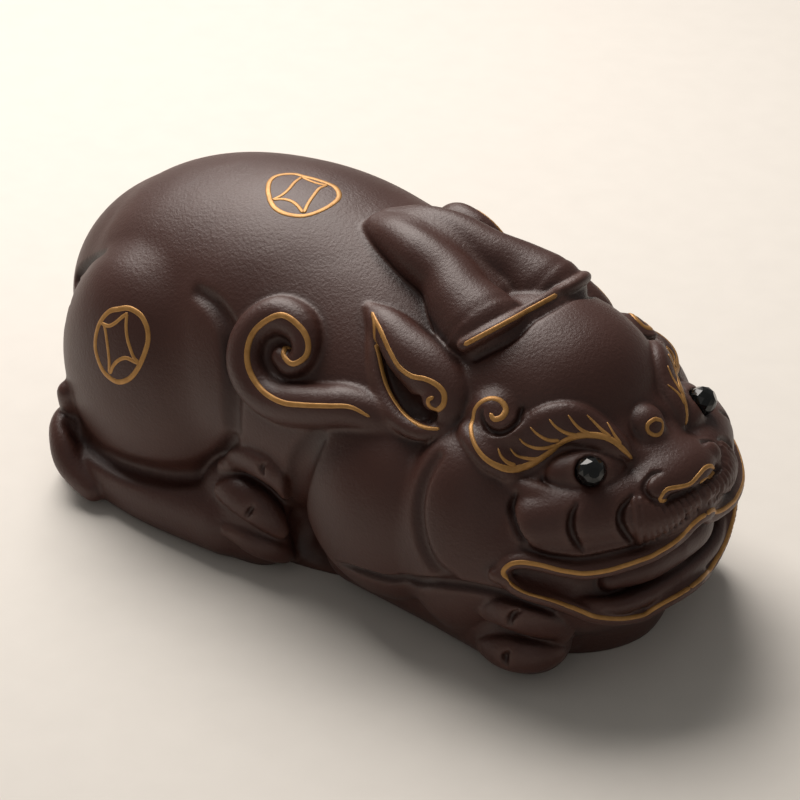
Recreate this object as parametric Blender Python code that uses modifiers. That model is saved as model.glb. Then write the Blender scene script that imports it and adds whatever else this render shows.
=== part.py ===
"""Tea pet: a lying guardian beast in purple clay, with scrolls, ears, horns, a wide mouth and
two black glass eyes. One cast and fired piece that stands on a flat underside, and two beads.

Metres. X points the way the beast looks, Z up, the underside on z = 0, the middle of the
length on x = 0. The forms are drawn in millimetres on a beast of DRAWN size and stretched to
LENGTH, WIDTH and HEIGHT.
"""
import math

import bmesh
import bpy
from mathutils import Euler, Matrix, Vector

# Sizes of the piece
LENGTH = 0.1231
WIDTH = 0.0613
HEIGHT = 0.0552
EYE_DIAMETER = 0.0044        # black glass bead
EYE_GAP = 0.0003             # room round each bead for its glue
DRAWN = (123.1, 61.3, 55.2)  # size that the numbers below are drawn at, in mm

FINE = 0.0006                # cell of the modelling clay
COARSE = 0.0010
FACES = 9800                 # triangles kept on the clay

BALL_STEP = 0.35             # gap of the balls in a roll, as a share of its radius
WIDE_ROLL = 3.0              # wider rolls keep the gap of this radius, drawn mm
THINNEST = 0.3               # least radius of a roll, drawn mm
MIDDLE = 0.01                # a ball closer to the middle than this has no twin, drawn mm

# smoothing passes after each remesh
BLEND_MASSES = 10
BLEND_FEATURES = 2
BLEND_HOLLOWS = 1

EYE_PLACE = (48.1, 13.0, 35.0)


def at(x, y, z):
    """A drawn point in metres, stretched to the size of the piece."""
    return Vector((x * LENGTH / DRAWN[0], y * WIDTH / DRAWN[1], z * HEIGHT / DRAWN[2]))


def collection(name):
    made = bpy.data.collections.new(name)
    bpy.context.scene.collection.children.link(made)
    return made


def material(name, colour, roughness, metallic=0.0):
    made = bpy.data.materials.new(name)
    made.use_nodes = True
    shader = made.node_tree.nodes["Principled BSDF"]
    shader.inputs["Base Color"].default_value = (*colour, 1.0)
    shader.inputs["Roughness"].default_value = roughness
    shader.inputs["Metallic"].default_value = metallic
    made.diffuse_color = (*colour, 1.0)
    return made


def put(name, mesh_data, home):
    piece = bpy.data.objects.new(name, mesh_data)
    home.objects.link(piece)
    return piece


def to_object(name, made, home):
    data = bpy.data.meshes.new(name)
    made.to_mesh(data)
    made.free()
    return put(name, data, home)


def apply(piece, kind, **settings):
    """Add a modifier and bake it in."""
    step = piece.modifiers.new(kind.lower(), kind)
    for key, value in settings.items():
        setattr(step, key, value)
    bpy.context.view_layer.update()
    seen = piece.evaluated_get(bpy.context.evaluated_depsgraph_get())
    baked = bpy.data.meshes.new_from_object(seen)
    piece.modifiers.clear()
    old, piece.data = piece.data, baked
    bpy.data.meshes.remove(old)
    return piece


def ball(made, place, radii, turn=Euler((0, 0, 0)), level=3):
    """One stretched ball and its mirror twin on the other side of the beast."""
    for side in (1, -1) if abs(place[1]) > MIDDLE else (1,):
        stretch = Matrix.Diagonal(Vector((*at(*radii), 1.0)))
        spin = Euler((turn.x * side, turn.y, turn.z * side)).to_matrix().to_4x4()
        spot = at(place[0], place[1] * side, place[2])
        bmesh.ops.create_icosphere(made, subdivisions=level, radius=1.0,
                                   matrix=Matrix.Translation(spot) @ spin @ stretch)


def egg(place, radii, turn=(0, 0, 0)):
    """A lump of clay: centre and half sizes in drawn mm, turn in degrees."""
    return lambda made: ball(made, place, radii, Euler([math.radians(t) for t in turn]))


def along(points, share):
    """Point on a smooth line through the rows of points, share going from 0 to 1."""
    spans = len(points) - 1
    where = min(share * spans, spans - 1e-6)
    i = int(where)
    t = where - i
    rows = [Vector(points[max(0, min(spans, i + k))]) for k in (-1, 0, 1, 2)]
    a, b, c, d = rows
    return 0.5 * (2 * b + (c - a) * t + (2 * a - 5 * b + 4 * c - d) * t ** 2
                  + (3 * b - a - 3 * c + d) * t ** 3)


def roll(points, radii):
    """A strand of clay: balls set closely along a line through the points."""
    def lay(made):
        length = sum((Vector(b) - Vector(a)).length for a, b in zip(points, points[1:]))
        count = max(3, int(length / (BALL_STEP * min(max(radii), WIDE_ROLL))))
        thick = [(r, 0.0, 0.0) for r in radii]
        for k in range(count + 1):
            spot = along(points, k / count)
            r = max(THINNEST, along(thick, k / count).x)
            ball(made, spot, (r, r, r), level=2)
    return lay


def heap(name, forms, home, cell, passes):
    """Knead forms into one lump: gather them, remesh, smooth the joins."""
    made = bmesh.new()
    for form in forms:
        form(made)
    piece = to_object(name, made, home)
    apply(piece, "REMESH", mode="VOXEL", voxel_size=cell, adaptivity=0.0)
    if passes:
        apply(piece, "SMOOTH", factor=0.5, iterations=passes)
    return piece


def keep(piece):
    """A finished lump as a form for the next heap."""
    def lay(made):
        made.from_mesh(piece.data)
    return lay


def carve(piece, cutter):
    return apply(piece, "BOOLEAN", operation="DIFFERENCE", solver="EXACT", object=cutter)


MASSES = [
    egg((-19, 0, 26.5), (40.5, 27, 26.5)),                                   # back
    egg((8, 0, 24), (32, 26, 23.5)),                                         # chest
    egg((-32, 0, 26.5), (29, 25, 22.8)),                                     # rump
    egg((-49, 0, 25.5), (14.5, 19, 17.2)),                                   # tail end
    egg((-33.2, 15.5, 20), (21.3, 15, 23), (-6, 0, 0)),                      # haunches
    egg((12.5, 18.5, 18.6), (13, 11.3, 15.6)),                               # shoulders
    egg((34.5, 0, 19.5), (24, 26.5, 19)),                                    # muzzle
    egg((29, 18, 20), (12, 10.5, 17)),                                       # jowls
    egg((39.5, 0, 32), (11.5, 15.5, 8.5)),                                   # face between the eyes
    egg((31.5, 0, 36.4), (15.2, 15.8, 12.6), (0, 10, 0)),                    # forehead
    egg((-16, 0, 3), (38, 23, 14)),                                          # belly
    egg((22, 0, 3), (28, 19, 12)),                                           # chest under the chin
    roll([(-56, 0, 18), (-54, 0, 7)], [8.5, 8]),                             # tail
    roll([(-46, 23.5, 5), (-30, 25, 5), (-14, 24, 6)], [6, 6, 6.5]),         # lower hind legs
    egg((-12, 21, 8), (9, 7, 9)),                                            # hind paws
    roll([(8, 16.5, 6.5), (22, 16, 6), (35, 16.5, 6.5)], [6.4, 6.4, 6.8]),   # forearms
    egg((36.5, 14.5, 6), (8, 8, 6.2)),                                       # wrists
]

# hollow between the brows, taken out of the masses
GLABELLA = [egg((53.5, 0, 38.4), (7.0, 6.4, 5.2))]

FEATURES = [
    # folds at the back of the haunches
    roll([(-47, 25.5, 16), (-48.5, 25.3, 10.5), (-44.5, 27, 6), (-38.5, 28.5, 3.5)], [2, 2.5, 2.6, 2.2]),
    # flank scrolls
    roll([(16, 22, 36), (11, 23, 35.2), (7.3, 24.2, 34.3), (3, 25, 33.1), (-0.8, 25.5, 32.3),
          (-4.7, 25.5, 32.8), (-7.9, 25, 35), (-9.2, 23.7, 37.9), (-8.7, 22, 40.6),
          (-5.9, 20.3, 42.9), (-2.1, 20, 42.8),
          (0.3, 20.9, 41.3), (1, 22.3, 39.3), (-0.6, 23.2, 37.8), (-2.6, 23.2, 38.4)],
         [1.6, 2.6, 3, 3.2, 3.2, 3.2, 3.2, 3.1, 3, 3, 2.8, 2.4, 2.1, 1.9, 1.6]),
    # horns laid back along the neck and joined in front, with a collar
    roll([(-3.0, 1.4, 51.0), (2.0, 2.6, 51.6), (7.5, 3.8, 51.2), (13.5, 4.6, 49.8), (18, 6.2, 47.8),
          (22.5, 7.0, 45.6)], [2.6, 3.5, 4.0, 4.3, 5.2, 6.5]),
    roll([(-2.5, 0, 51.2), (3, 0, 51.8), (9, 0, 51.3), (14.5, 0, 49.2), (22, 0, 48.4)],
         [2.5, 3.2, 3.3, 2.6, 2.6]),
    roll([(23.6, 13.2, 46.0), (25.6, 10.8, 47.8), (27.2, 7.0, 48.8), (28.6, 3.4, 49.6), (29.4, 0, 49.9)],
         [1.1, 1.2, 1.2, 1.2, 1.2]),
    # ears: the fold above and the rim below
    roll([(6.0, 13.4, 45.8), (10.5, 14.2, 44.6), (15.5, 15.0, 42.6), (20.5, 15.2, 40.8), (24.4, 15.6, 38.6),
          (25.6, 17.2, 36.4)], [0.8, 2.8, 4.0, 4.5, 4.2, 2.8]),
    roll([(7.8, 14.8, 45.6), (10.8, 17.6, 41.8), (14.3, 19.8, 37.6), (18.8, 21.2, 35.3), (23.2, 21.0, 34.9),
          (26.0, 19.8, 35.8)], [0.7, 1.1, 1.4, 1.5, 1.4, 0.9]),
    # brows with a curl at the outer end, and the ball between them
    roll([(29.6, 16.4, 38.2), (30.8, 17.9, 36.3), (34.6, 18.5, 34.9), (37.9, 16.6, 36.6), (41.0, 14.2, 39.2),
          (44.0, 11.5, 40.2), (46.7, 9.0, 39.4), (48.7, 7.4, 37.4), (49.9, 6.6, 35.6)],
         [1.6, 2.3, 2.8, 3.0, 3.1, 3.0, 2.5, 1.8, 0.9]),
    egg((31.6, 14.8, 38.8), (3.5, 3.2, 3.4)),
    egg((47.4, 0, 36.4), (3.3, 3.3, 3.3)),
    # eyeballs and lower lids
    egg((45.9, 11.4, 33.2), (3.4, 6.0, 3.4), (0, 0, 38)),
    roll([(39.5, 19.2, 32.6), (42.6, 17.9, 31.8), (46.6, 15.9, 30.8), (49.4, 12.6, 30.8), (51.0, 9.2, 31.5),
          (51.8, 6.7, 32.8)], [0.8, 1.3, 1.5, 1.5, 1.3, 0.8]),
    # muzzle roll, moustache pad, nose and its wings
    roll([(43.0, 18.0, 26.0), (46.0, 14.8, 26.2), (49.2, 11.0, 26.4), (51.6, 6.5, 26.8), (52.4, 0, 27.2)],
         [4.7, 5.4, 5.5, 5.4, 5.4]),
    egg((50.8, 0, 27.2), (8.6, 11.6, 5.4), (0, 10, 0)),
    egg((49, 0, 32.6), (5, 6, 3)),
    egg((52.6, 0, 31.4), (5.0, 7.6, 3.1), (0, 12, 0)),
    egg((53.6, 6.6, 30.9), (2.4, 2.3, 2.4)),
    # lips
    roll([(41.8, 24.9, 22.0), (42.4, 24.5, 23.3), (44.3, 23.6, 23.9), (48.5, 21.0, 23.2), (52.4, 17.0, 23.0),
          (55.3, 11.5, 23.7), (57.3, 5.5, 24.9), (58.0, 1.7, 26.0), (58.0, 0, 25.7)],
         [1.0, 1.2, 1.3, 1.3, 1.3, 1.3, 1.3, 1.3, 1.3]),
    roll([(41.8, 25.0, 20.6), (43.4, 24.6, 18.5), (46.4, 22.9, 16.8), (49.5, 19.9, 14.4), (51.9, 16.0, 12.1),
          (53.9, 10.6, 10.6), (55.3, 5, 10.6), (55.7, 0, 11.0)], [1.2, 1.3, 1.3, 1.3, 1.3, 1.3, 1.3, 1.3]),
    # toes
    egg((-8.5, 25.4, 3.6), (6.0, 3.4, 3.4)),
    egg((-8.3, 25.8, 9.0), (6.6, 3.4, 3.3)),
    egg((-9.4, 24.6, 14.0), (6.0, 3.2, 3.0)),
    egg((38.0, 17.8, 7.5), (7.5, 6.0, 6.4)),
    egg((43.4, 19.2, 3.6), (5.4, 4.0, 3.8)),
    egg((43.9, 18.4, 9.0), (5.4, 4.0, 3.6)),
    egg((45.0, 11.5, 4.2), (5.0, 3.8, 4.4)),
]

HOLLOWS = [
    # mouth
    roll([(43.2, 24.8, 21.2), (45.6, 23.3, 20.4), (48.3, 21.6, 19.5), (51.8, 17.9, 18.4), (54.6, 12.8, 17.8),
          (56.8, 6, 17.8), (57.6, 0, 18.0)], [0.8, 1.8, 2.7, 3.8, 4.8, 5.3, 5.4]),
    # inside of the ears
    roll([(9.8, 16.4, 43.8), (13.0, 18.6, 40.8), (16.5, 20.0, 38.4), (20.5, 20.6, 37.4), (23.4, 20.0, 37.8)],
         [0.5, 1.6, 2.2, 2.2, 1.5]),
]

IN_HOLLOWS = [
    # tongue and lower gum
    roll([(50.6, 11.0, 17.0), (52.6, 6.0, 17.8), (53.2, 0, 18.2)], [2.0, 2.8, 3.0]),
    roll([(49.5, 17.5, 15.0), (52.4, 12, 13.4), (53.8, 5.5, 13.0), (54.2, 0, 13.2)], [0.9, 1.5, 1.7, 1.7]),
    # knobs in the ears
    egg((23.4, 18.4, 39.4), (1.9, 1.9, 1.9)),
]


def flat_foot(piece):
    """Cut the underside flat on z = 0 and close it."""
    made = bmesh.new()
    made.from_mesh(piece.data)
    cut = bmesh.ops.bisect_plane(made, geom=made.verts[:] + made.edges[:] + made.faces[:], dist=1e-6,
                                 plane_co=(0, 0, 0), plane_no=(0, 0, 1), clear_inner=True)
    rim = [e for e in cut["geom_cut"] if isinstance(e, bmesh.types.BMEdge)]
    bmesh.ops.triangle_fill(made, edges=rim, use_beauty=True, normal=(0, 0, -1))
    bmesh.ops.recalc_face_normals(made, faces=made.faces[:])
    made.to_mesh(piece.data)
    made.free()


def main():
    for thing in list(bpy.data.objects):
        bpy.data.objects.remove(thing)
    home, cutters = collection("tea_pet"), collection("cutters")

    body = heap("masses", MASSES, cutters, COARSE, BLEND_MASSES)
    carve(body, heap("glabella", GLABELLA, cutters, FINE, BLEND_HOLLOWS))
    beast = heap("features", [keep(body)] + FEATURES, cutters, FINE, BLEND_FEATURES)
    carve(beast, heap("mouth_and_ears", HOLLOWS, cutters, FINE, BLEND_HOLLOWS))
    beast = heap("clay_beast", [keep(beast)] + IN_HOLLOWS, home, FINE, BLEND_FEATURES)
    faces = 2 * len(beast.data.polygons)
    apply(beast, "DECIMATE", ratio=FACES / faces, use_symmetry=True, symmetry_axis="Y")
    flat_foot(beast)

    eyes = []
    for side, name in ((1, "left_eye_bead"), (-1, "right_eye_bead")):
        spot = at(EYE_PLACE[0], EYE_PLACE[1] * side, EYE_PLACE[2])
        made = bmesh.new()
        bmesh.ops.create_uvsphere(made, u_segments=24, v_segments=12, radius=EYE_DIAMETER / 2 + EYE_GAP,
                                  matrix=Matrix.Translation(spot))
        carve(beast, to_object(name + "_socket", made, cutters))
        made = bmesh.new()
        bmesh.ops.create_uvsphere(made, u_segments=24, v_segments=12, radius=EYE_DIAMETER / 2,
                                  matrix=Matrix.Translation(spot))
        eyes.append(to_object(name, made, home))

    clay = material("purple_clay", (0.083, 0.046, 0.042), 0.45)
    glass = material("black_glass", (0.006, 0.006, 0.007), 0.08)
    beast.data.materials.clear()
    beast.data.materials.append(clay)
    for eye in eyes:
        eye.data.materials.append(glass)
    low = min(v.co.x for v in beast.data.vertices)
    high = max(v.co.x for v in beast.data.vertices)
    for piece in [beast, *eyes]:
        piece.data.transform(Matrix.Translation((-(low + high) / 2, 0, 0)))
        piece.data.shade_smooth()
    for cutter in cutters.objects:
        cutter.hide_render = True
        cutter.display_type = "WIRE"
    print("tea pet", len(beast.data.polygons), "faces, x from", round(low, 4), "to", round(high, 4))


main()
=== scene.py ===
"""A tea pet of fired purple clay: a lying guardian beast with brushed gold lines and glass eyes.

The beast is modelled as a potter would, in one lump: balls and rolls of clay are pressed together,
then ridges, hollows and grooves are worked into it. The lump is a field of distances over half of
the figure, in millimetres, mirrored when it becomes a mesh. Gold lines are laid on that surface.
"""

import bpy
import numpy as np
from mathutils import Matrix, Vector


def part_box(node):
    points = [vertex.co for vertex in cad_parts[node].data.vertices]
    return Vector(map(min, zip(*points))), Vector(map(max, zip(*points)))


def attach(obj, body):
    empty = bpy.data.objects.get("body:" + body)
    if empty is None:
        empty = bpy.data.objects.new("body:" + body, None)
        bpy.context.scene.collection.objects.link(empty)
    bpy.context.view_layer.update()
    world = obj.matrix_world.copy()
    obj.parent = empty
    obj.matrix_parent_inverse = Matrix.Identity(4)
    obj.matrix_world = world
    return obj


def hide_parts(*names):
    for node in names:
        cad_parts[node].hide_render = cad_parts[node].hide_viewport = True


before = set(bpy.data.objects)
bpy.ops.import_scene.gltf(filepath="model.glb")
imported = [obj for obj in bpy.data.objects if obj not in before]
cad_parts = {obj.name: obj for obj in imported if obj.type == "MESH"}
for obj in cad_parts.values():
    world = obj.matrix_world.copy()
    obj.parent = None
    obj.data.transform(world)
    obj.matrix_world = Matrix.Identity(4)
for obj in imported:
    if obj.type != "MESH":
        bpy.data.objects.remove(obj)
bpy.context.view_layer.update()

MM = 0.001
CLAY_STEP = 0.33             # mm between the points at which the lump is measured
CLAY_LOW, CLAY_HIGH = (-75, 0, -3), (68, 40, 64)  # mm, the space that is measured
CLAY_TRIANGLES = 190_000
ROLL_GAP = 1.0               # mm between the rows that make a roll round
STRAND_GAP = 0.7             # the same for a strand
STRAND_THINNEST = 0.12       # mm, least half width and height of a strand
CREASE_REACH = 1.6           # mm over which creases and edges are told from open surface
FAR = 60.0                   # a distance larger than any that matters, mm
HAIRS = 11                   # locks of the moustache on each side
LIP_POINTS = 24              # points along each lip's line
LIP_EDGE = 0.5               # mm of lip left inside its gold line
LIP_ROLL = 0.9               # mm, radius of the lip's rolled edge
LIP_SINK = 0.5               # mm that the middle of that roll lies below the face
MOUTH_POINTS = 12            # points along the middle of the open mouth
EYE = (48.1, 13.0, 35.0)     # centre of an eye bead in the drawing, mm
GLUE = 0.12                  # mm of glue round a bead

# The photograph's view of the drawing: a long lens, from the beast's right, in front and above
VIEW_TURN, VIEW_HEIGHT = np.radians(42.0), np.radians(31.0)
VIEW_DISTANCE = 480.0        # mm
VIEW_TARGET = np.array([0, 0, 21.6])
VIEW_LENS, VIEW_SENSOR = 138.9, 36.0
PHOTO_SIZE = 800             # pixels along a side of the photograph
SIGHT_SPARE = 90.0           # mm before the target at which a line of sight starts to feel for the clay
SIGHT_STEPS = 400            # steps that it takes at most
SIGHT_TOUCH = 0.02           # mm from the clay at which it has met it

# The drawing lies in the frame by its eyes
BEAD_LOW, BEAD_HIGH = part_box("left_eye_bead")
BEAD_PLACE = (BEAD_LOW + BEAD_HIGH) / 2
BEAD_RADIUS = (BEAD_HIGH.z - BEAD_LOW.z) / 2
SHIFT = np.array(BEAD_PLACE) / MM - EYE


def unit(v):
    """The same direction, one long."""
    return np.asarray(v, float) / np.linalg.norm(v)


def turned(degrees):
    """The matrix of a turn about X, then Y, then Z."""
    (cx, cy, cz), (sx, sy, sz) = np.cos(np.radians(degrees)), np.sin(np.radians(degrees))
    about_x = np.array([[1, 0, 0], [0, cx, -sx], [0, sx, cx]])
    about_y = np.array([[cy, 0, sy], [0, 1, 0], [-sy, 0, cy]])
    about_z = np.array([[cz, -sz, 0], [sz, cz, 0], [0, 0, 1]])
    return about_z @ about_y @ about_x


def between(first, last, count):
    """Evenly spaced points of a straight line."""
    return first + np.linspace(0, 1, count)[:, None] * (np.array(last, float) - first)


def along(line, shares):
    """Points at shares of the length of a line."""
    run = np.concatenate([[0], np.cumsum(np.linalg.norm(np.diff(line, axis=0), axis=1))])
    return np.column_stack([np.interp(shares * run[-1], run, column) for column in line.T])


def view_axes():
    """The photograph's directions: back to the camera, right and up."""
    back = np.array([np.sin(VIEW_TURN) * np.cos(VIEW_HEIGHT), -np.cos(VIEW_TURN) * np.cos(VIEW_HEIGHT),
                     np.sin(VIEW_HEIGHT)])
    right = np.array([np.cos(VIEW_TURN), np.sin(VIEW_TURN), 0])
    return back, right, np.cross(back, right)


def smooth_line(rows, gap):
    """Rows of a smooth curve through the given ones, about gap mm apart in x, y, z."""
    rows = np.array(rows, float)
    padded = np.vstack([2 * rows[0] - rows[1], rows, 2 * rows[-1] - rows[-2]])
    out = []
    for a, b, c, d in zip(padded, padded[1:], padded[2:], padded[3:]):
        count = max(1, int(np.ceil(np.linalg.norm((c - b)[:3]) / gap)))
        t = np.arange(count)[:, None] / count
        out.append(0.5 * (2 * b + (c - a) * t + (2 * a - 5 * b + 4 * c - d) * t ** 2
                          + (3 * b - a - 3 * c + d) * t ** 3))
    return np.vstack([*out, rows[-1:]])


def egg(centre, radii, turn=(0, 0, 0)):
    """A ball of clay stretched to three half sizes."""
    centre, radii, spin = np.array(centre, float), np.array(radii, float), turned(turn)
    reach = np.sqrt(((spin * radii) ** 2).sum(1))

    def distance(p):
        q = (p - centre) @ spin
        shape = np.sqrt(((q / radii) ** 2).sum(-1))
        slope = np.sqrt(((q / radii ** 2) ** 2).sum(-1))
        return shape * (shape - 1) / np.maximum(slope, 1e-6)

    return [(centre - reach, centre + reach, distance)]


def rolled(rows, flats, faces):
    """A roll of clay through rows of (x, y, z, half width), flattened across its faces."""
    parts = []
    for a, b, flat, face in zip(rows, rows[1:], flats, faces):
        reach = max(a[3], b[3]) * max(1.0, flat)

        def distance(p, a=a, b=b, flat=flat, face=face):
            way = b[:3] - a[:3]
            t = np.clip((p - a[:3]) @ way / max(way @ way, 1e-9), 0, 1)
            radius = a[3] + (b[3] - a[3]) * t
            off = p - a[:3] - t[..., None] * way
            rise = off @ face
            across = np.maximum((off ** 2).sum(-1) - rise ** 2, 0)
            shape = np.sqrt(across + (rise / flat) ** 2) / radius
            slope = np.sqrt(across + (rise / flat ** 2) ** 2) / radius ** 2
            return shape * (shape - 1) / np.maximum(slope, 1e-6)

        low, high = np.minimum(a[:3], b[:3]) - reach, np.maximum(a[:3], b[:3]) + reach
        parts.append((low, high, distance))
    return parts


def roll(points, radii):
    """A round roll of clay that tapers as its radii say."""
    rows = smooth_line(np.column_stack([points, np.broadcast_to(radii, len(points))]), ROLL_GAP)
    return rolled(rows, np.ones(len(rows)), np.tile([0.0, 1.0, 0.0], (len(rows), 1)))


class Lump:
    """Clay as distances to its surface on a grid over one half of the figure, y from 0 up."""

    def __init__(self, low, high, step):
        self.step = step
        self.low = np.array([low[0], -step / 2, low[2]], float)
        self.size = [int(np.ceil((h - l) / step)) + 1 for l, h in zip(self.low, high)]
        self.axes = [(l + step * np.arange(n)).astype(np.float32) for l, n in zip(self.low, self.size)]
        self.field = np.full(self.size, FAR, np.float32)

    def cells(self, low, high):
        """The part of the grid that holds a box."""
        first = [int(np.floor((a - l) / self.step)) for a, l in zip(low, self.low)]
        last = [int(np.ceil((b - l) / self.step)) + 1 for b, l in zip(high, self.low)]
        return tuple(slice(max(a, 0), max(min(b, n), 0)) for a, b, n in zip(first, last, self.size))

    def measure(self, parts, margin):
        """The cells that a form can reach, and its distances there."""
        lows, highs = [part[0] for part in parts], [part[1] for part in parts]
        block = self.cells(np.min(lows, 0) - margin, np.max(highs, 0) + margin)
        out = np.full([s.stop - s.start for s in block], FAR, np.float32)
        for low, high, distance in parts:
            inner = self.cells(low - margin, high + margin)
            if any(s.stop <= s.start for s in inner):
                continue
            grid = np.stack(np.meshgrid(*[a[s] for a, s in zip(self.axes, inner)], indexing="ij"), -1)
            here = tuple(slice(s.start - b.start, s.stop - b.start) for s, b in zip(inner, block))
            out[here] = np.minimum(out[here], distance(grid))
        return block, out

    @staticmethod
    def knead(a, b, soft):
        """The smaller of two distances, with the join smoothed over soft mm."""
        h = np.clip(0.5 + 0.5 * (b - a) / soft, 0, 1)
        return b + (a - b) * h - soft * h * (1 - h)

    def add(self, parts, soft=0.5):
        """Press clay on, its join smoothed over soft mm."""
        block, new = self.measure(parts, soft + 2 * self.step)
        self.field[block] = self.knead(self.field[block], new, soft)

    def cut(self, parts, soft=0.3):
        """Take clay away, the new edge rounded over soft mm."""
        block, new = self.measure(parts, soft + 2 * self.step)
        self.field[block] = -self.knead(-self.field[block], new, soft)

    def trim_underside(self):
        """Cut the beast flat where it rests."""
        self.field = np.maximum(self.field, -self.axes[2][None, None, :])

    def value(self, p):
        """Distance to the surface at points, between the grid's own."""
        p = np.array(p, float)
        p[..., 1] = np.abs(p[..., 1])
        q = np.clip((p - self.low) / self.step, 0, np.array(self.size) - 1.001)
        i = q.astype(int)
        f = q - i
        total = 0
        for corner in np.ndindex(2, 2, 2):
            weight = np.prod(np.where(corner, f, 1 - f), axis=-1)
            total = total + weight * self.field[tuple(np.moveaxis(i + corner, -1, 0))]
        return total

    def outward(self, p):
        """The surface's direction at points."""
        reach = self.step * 0.75
        slope = [self.value(p + reach * d) - self.value(p - reach * d) for d in np.eye(3)]
        slope = np.stack(slope, -1)
        return slope / np.maximum(np.linalg.norm(slope, axis=-1, keepdims=True), 1e-9)

    def seen(self, pixels):
        """Where lines of sight through the photograph's pixels meet the clay.

        The photograph shows the half with y below 0; the points are mirrored to the half with y above 0.
        """
        pixels = np.array(pixels, float)
        back, right, up = view_axes()
        focus = VIEW_LENS / VIEW_SENSOR * PHOTO_SIZE
        across, down = (pixels - PHOTO_SIZE / 2).T[:, :, None]
        ways = right * across - up * down - back * focus
        ways /= np.linalg.norm(ways, axis=1, keepdims=True)
        eye = VIEW_TARGET + back * VIEW_DISTANCE
        reach = np.full(len(pixels), VIEW_DISTANCE - SIGHT_SPARE)
        best, nearest = reach.copy(), np.full(len(pixels), FAR)
        for _ in range(SIGHT_STEPS):
            gap = self.value(eye + ways * reach[:, None])
            closer = gap < nearest
            best, nearest = np.where(closer, reach, best), np.where(closer, gap, nearest)
            reach = reach + np.where(nearest > SIGHT_TOUCH, np.clip(gap * 0.7, 0.03, 0.6), 0)
        return (eye + ways * best[:, None]) * (1, -1, 1)

    def settle(self, points, lift=0.0):
        """Points moved until they lie on the surface, or lift mm above it."""
        points = np.array(points, float)
        for _ in range(6):
            off = np.clip(self.value(points) - lift, -2, 2)
            points = points - off[:, None] * self.outward(points)
        return points

    def strand(self, points, half_widths, heights):
        """A strand that lies on the surface and stands heights mm out of it and into it."""
        count = len(points)
        sizes = [np.broadcast_to(np.asarray(v, float), count) for v in (half_widths, heights)]
        rows = smooth_line(np.column_stack([points, *sizes]), STRAND_GAP)
        rows[:, 3:] = np.maximum(rows[:, 3:], STRAND_THINNEST)
        spots = self.settle(rows[:, :3])
        faces = self.outward(spots)
        middles = faces[:-1] + faces[1:]
        middles /= np.linalg.norm(middles, axis=1, keepdims=True)
        flats = (rows[:-1, 4] + rows[1:, 4]) / (rows[:-1, 3] + rows[1:, 3])
        return rolled(np.column_stack([spots, rows[:, 3]]), flats, middles)

    def ridge(self, points, width, height, soft=0.3):
        """A raised line on the surface."""
        self.add(self.strand(points, np.asarray(width) / 2, height), soft)

    def groove(self, points, width, depth, soft=0.2):
        """A sunk line in the surface."""
        self.cut(self.strand(points, np.asarray(width) / 2, depth), soft)

    def skin(self):
        """(points, quads) of the half figure's surface, open where y is 0."""
        inside = self.field < 0
        n = np.array(self.field.shape) - 1
        count = np.zeros(n, np.uint8)
        for x, y, z in np.ndindex(2, 2, 2):
            count += inside[x:x + n[0], y:y + n[1], z:z + n[2]]
        cells = np.stack(np.nonzero((count > 0) & (count < 8)), 1)
        number = np.full(n, -1, np.int64)
        number[tuple(cells.T)] = np.arange(len(cells))
        total, hits = np.zeros((len(cells), 3)), np.zeros(len(cells))
        for axis in range(3):
            one, two = [k for k in range(3) if k != axis]
            for i, j in np.ndindex(2, 2):
                start = np.zeros(3, int)
                start[one], start[two] = i, j
                end = start.copy()
                end[axis] = 1
                a, b = self.field[tuple((cells + start).T)], self.field[tuple((cells + end).T)]
                crossed = (a < 0) != (b < 0)
                t = np.where(crossed, a / np.where(crossed, a - b, 1), 0)
                total += (start + t[:, None] * (end - start)) * crossed[:, None]
                hits += crossed
        points = self.low + self.step * (cells + total / hits[:, None])
        quads = []
        for axis in range(3):
            one, two = [k for k in range(3) if k != axis]
            a = np.moveaxis(inside, axis, 0)
            change = np.moveaxis(a[:-1] != a[1:], 0, axis)
            at = np.stack(np.nonzero(change), 1)
            at = at[(at[:, one] > 0) & (at[:, two] > 0) & (at[:, one] < n[one]) & (at[:, two] < n[two])]
            d1, d2 = np.eye(3, dtype=int)[one], np.eye(3, dtype=int)[two]
            quad = np.stack([number[tuple(r.T)] for r in (at - d1 - d2, at - d2, at, at - d1)], 1)
            flip = inside[tuple(at.T)] ^ (axis == 1)
            quad[~flip] = quad[~flip][:, ::-1]
            quads.append(quad)
        return points, np.vstack(quads)


# Lines read from the photograph, in its pixels

SCROLL_LINE = [(291, 349), (286, 347), (284, 356), (293, 364), (306, 356), (308, 342), (300, 327),
               (281, 315), (258, 327), (248, 346), (249, 369), (262, 390), (281, 402), (302, 405),
               (327, 406), (350, 407), (370, 417)]
EAR_RIM_LINE = [(372, 312), (374, 325), (378, 350), (383, 372), (390, 392), (400, 408), (412, 420),
                (425, 427), (440, 429)]
EAR_FOLD_LINE = [(372, 312), (380, 330), (389, 350), (399, 367), (411, 376), (425, 379), (437, 385),
                 (444, 394), (443, 405), (436, 410), (429, 406), (428, 400), (434, 397)]
COLLAR_OUTER, COLLAR_INNER = (464, 345), (557, 295)
BROW_LINE = [(490, 413), (494, 419), (502, 417), (506, 409), (501, 401), (492, 398), (482, 401),
             (474, 411), (471, 425), (473, 440), (480, 453), (490, 462), (503, 468), (517, 469),
             (530, 465), (542, 458), (553, 450), (565, 441), (578, 436), (592, 435), (605, 437),
             (615, 442), (623, 449), (632, 459)]
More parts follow.
